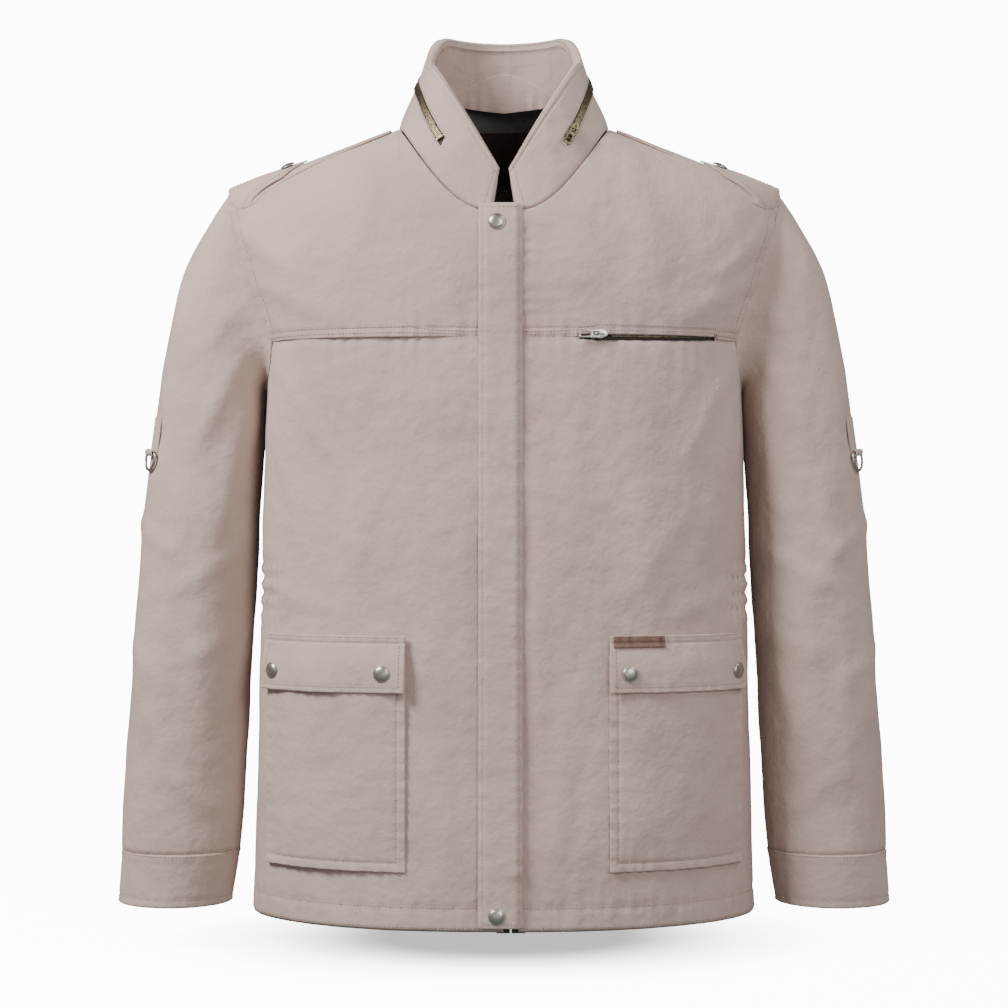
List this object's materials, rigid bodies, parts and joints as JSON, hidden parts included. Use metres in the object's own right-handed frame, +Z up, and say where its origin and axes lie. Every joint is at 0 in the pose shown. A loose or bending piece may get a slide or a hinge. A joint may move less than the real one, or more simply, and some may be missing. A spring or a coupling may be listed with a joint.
{
  "type": "jacket",
  "caption": "Hip-length field jacket with a hooded stand collar, storm flap over the main zip, flapped patch pockets, zipped chest pocket, epaulettes and ringed sleeve tabs.",
  "frame": {"origin": "centre of the neck, level with the side neck points, where a form or a hanger carries the jacket", "axes": "+Z up the wearer's neck, the front faces -Y, +X is the wearer's left"},
  "size_m": [0.728, 0.2726, 0.831],
  "materials": {
    "shell_cloth": "brushed cotton and microfibre, matt",
    "hood_cloth": "thin plain weave, matt",
    "lining": "plain lining, slight sheen",
    "zip_tape": "woven tape, matt",
    "elastic": "knitted elastic, matt",
    "neck_label": "woven label, blank",
    "leather_label": "smooth brown leather, blank",
    "aged_brass": "antiqued, satin",
    "nickel": "polished nickel plate"
  },
  "bodies": {
    "shell": {"back_panel": "shell_cloth", "back_yoke": "shell_cloth", "right_front_panel": "shell_cloth", "left_front_panel": "shell_cloth", "right_front_yoke": "shell_cloth", "left_front_yoke": "shell_cloth", "back_lining": "lining", "right_front_lining": "lining", "left_front_lining": "lining", "neck_label": "neck_label", "collar_outer": "shell_cloth", "stowed_hood": "hood_cloth", "collar_inner": "shell_cloth", "placket_top_stud": "nickel", "placket_bottom_stud": "nickel", "right_zip_tape": "zip_tape", "left_zip_tape": "zip_tape", "right_pocket_bag": "shell_cloth", "right_flap_inner_stud": "nickel", "right_flap_outer_stud": "nickel", "left_pocket_bag": "shell_cloth", "left_flap_inner_stud": "nickel", "left_flap_outer_stud": "nickel", "chest_zip_tape": "zip_tape", "chest_pocket_bag": "lining", "collar_zip_tape": "zip_tape", "right_epaulette_strap": "shell_cloth", "left_epaulette_strap": "shell_cloth", "right_waist_elastic": "elastic", "left_waist_elastic": "elastic"},
    "placket": {"placket_flap": "shell_cloth", "placket_top_cap": "nickel", "placket_bottom_cap": "nickel"},
    "main_slider": {"main_zip_slider": "aged_brass"},
    "main_pull": {"main_zip_pull": "aged_brass"},
    "right_flap": {"right_pocket_flap": "shell_cloth", "right_flap_inner_cap": "nickel", "right_flap_outer_cap": "nickel"},
    "left_flap": {"left_pocket_flap": "shell_cloth", "left_flap_inner_cap": "nickel", "left_flap_outer_cap": "nickel", "flap_label": "leather_label"},
    "chest_slider": {"chest_zip_slider": "aged_brass"},
    "chest_pull": {"chest_zip_pull": "aged_brass"},
    "collar_slider": {"collar_zip_slider": "aged_brass"},
    "collar_pull": {"collar_zip_pull": "aged_brass"},
    "right_tip": {"right_epaulette_tip": "shell_cloth", "right_epaulette_cap": "nickel"},
    "left_tip": {"left_epaulette_tip": "shell_cloth", "left_epaulette_cap": "nickel"},
    "right_arm": {"right_sleeve": "shell_cloth", "right_cuff": "shell_cloth", "right_sleeve_lining": "lining", "right_ring_tab": "shell_cloth"},
    "left_arm": {"left_sleeve": "shell_cloth", "left_cuff": "shell_cloth", "left_sleeve_lining": "lining", "left_ring_tab": "shell_cloth"},
    "right_d_ring": {"right_ring": "nickel"},
    "left_d_ring": {"left_ring": "nickel"}
  },
  "joints": [
    {"name": "placket_opens", "type": "hinge", "parent": "shell", "child": "placket", "pos_m": [0.01666, -0.11626, -0.08101], "axis": [0.0001, 0.0322, 0.9995], "range_deg": [0, 110]},
    {"name": "main_zip_travel", "type": "slide", "parent": "shell", "child": "main_slider", "axis": [0, -0.0282, -0.9996], "range_m": [0, 0.62]},
    {"name": "main_pull_swings", "type": "hinge", "parent": "main_slider", "child": "main_pull", "pos_m": [0.006, -0.11401, -0.094], "axis": [-1, 0, 0], "range_deg": [0, 5]},
    {"name": "right_flap_lifts", "type": "hinge", "parent": "shell", "child": "right_flap", "pos_m": [-0.16974, -0.10152, -0.46899], "axis": [-0.9002, 0.4355, -0.0002], "range_deg": [0, 105]},
    {"name": "left_flap_lifts", "type": "hinge", "parent": "shell", "child": "left_flap", "pos_m": [0.17203, -0.10041, -0.46899], "axis": [-0.8941, -0.4479, 0.0002], "range_deg": [0, 105]},
    {"name": "chest_zip_travel", "type": "hinge", "parent": "shell", "child": "chest_slider", "pos_m": [0.09012, 0.07319, -0.20026], "axis": [0.0002, 0.0093, 1], "range_deg": [0, 31]},
    {"name": "chest_pull_lifts", "type": "hinge", "parent": "chest_slider", "child": "chest_pull", "pos_m": [0.08539, -0.11953, -0.19854], "axis": [0.0006, -0.0076, 1], "range_deg": [0, 150]},
    {"name": "collar_zip_travel", "type": "hinge", "parent": "shell", "child": "collar_slider", "pos_m": [0.03444, 0.00511, -0.04406], "axis": [-0.8767, -0.0983, 0.4709], "range_deg": [0, 45]},
    {"name": "collar_pull_lifts", "type": "hinge", "parent": "collar_slider", "child": "collar_pull", "pos_m": [0.06424, -0.09503, -0.01073], "axis": [-0.8074, -0.1885, 0.5591], "range_deg": [0, 150]},
    {"name": "right_tip_lifts", "type": "hinge", "parent": "shell", "child": "right_tip", "pos_m": [-0.26156, -0.01156, -0.05336], "axis": [0, -1, 0], "range_deg": [0, 110]},
    {"name": "left_tip_lifts", "type": "hinge", "parent": "shell", "child": "left_tip", "pos_m": [0.26156, -0.01156, -0.05336], "axis": [0, 1, 0], "range_deg": [0, 110]},
    {"name": "right_arm_out", "type": "hinge", "parent": "shell", "child": "right_arm", "pos_m": [-0.262, 0, -0.06], "axis": [0, 1, 0], "range_deg": [0, 40]},
    {"name": "left_arm_out", "type": "hinge", "parent": "shell", "child": "left_arm", "pos_m": [0.262, 0, -0.06], "axis": [0, -1, 0], "range_deg": [0, 40]},
    {"name": "right_ring_swings", "type": "hinge", "parent": "right_arm", "child": "right_d_ring", "pos_m": [-0.32924, -0.03563, -0.30291], "axis": [-0.5036, 0.8616, 0.0627], "range_deg": [0, 120]},
    {"name": "left_ring_swings", "type": "hinge", "parent": "left_arm", "child": "left_d_ring", "pos_m": [0.32924, -0.03563, -0.30291], "axis": [-0.5036, -0.8616, -0.0627], "range_deg": [0, 120]}
  ]
}
